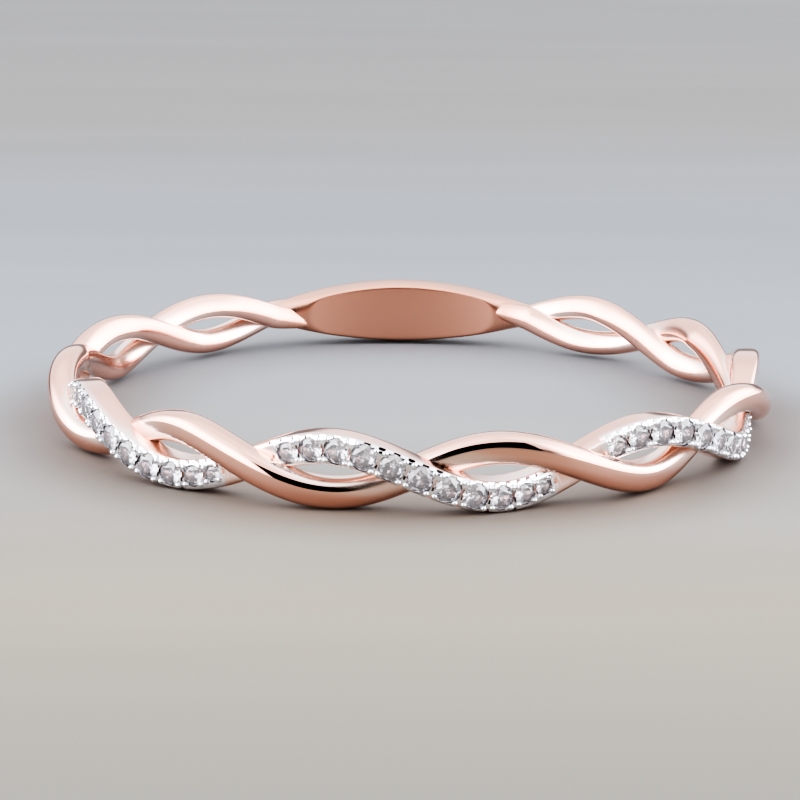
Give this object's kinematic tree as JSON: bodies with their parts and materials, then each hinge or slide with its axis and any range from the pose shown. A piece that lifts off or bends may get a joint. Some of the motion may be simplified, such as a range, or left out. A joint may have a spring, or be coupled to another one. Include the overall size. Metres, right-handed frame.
{
  "type": "twist ring",
  "caption": "Slim open rope-like finger ring: a polished strand and a stone-set strand wound round each other, joined by a plain leaf-shaped plate at the back.",
  "frame": {"origin": "middle of the finger opening, halfway up the band", "axes": "+Z along the finger opening, -Y towards the front crossing with the middle stone row, +X to the right seen from the front"},
  "size_m": [0.0192, 0.0195, 0.002],
  "materials": {
    "rose_gold": "polished",
    "stone": "polished, faceted"
  },
  "bodies": {
    "root": {"band": "rose_gold", "stone_01": "stone", "stone_02": "stone", "stone_03": "stone", "stone_04": "stone", "stone_05": "stone", "stone_06": "stone", "stone_07": "stone", "stone_08": "stone", "stone_09": "stone", "stone_10": "stone", "stone_11": "stone", "stone_12": "stone", "stone_13": "stone", "stone_14": "stone", "stone_15": "stone", "stone_16": "stone", "stone_17": "stone", "stone_18": "stone", "stone_19": "stone", "stone_20": "stone", "stone_21": "stone", "stone_22": "stone", "stone_23": "stone", "stone_24": "stone", "stone_25": "stone", "stone_26": "stone", "stone_27": "stone", "stone_28": "stone", "stone_29": "stone", "stone_30": "stone", "stone_31": "stone", "stone_32": "stone", "stone_33": "stone"}
  },
  "joints": []
}
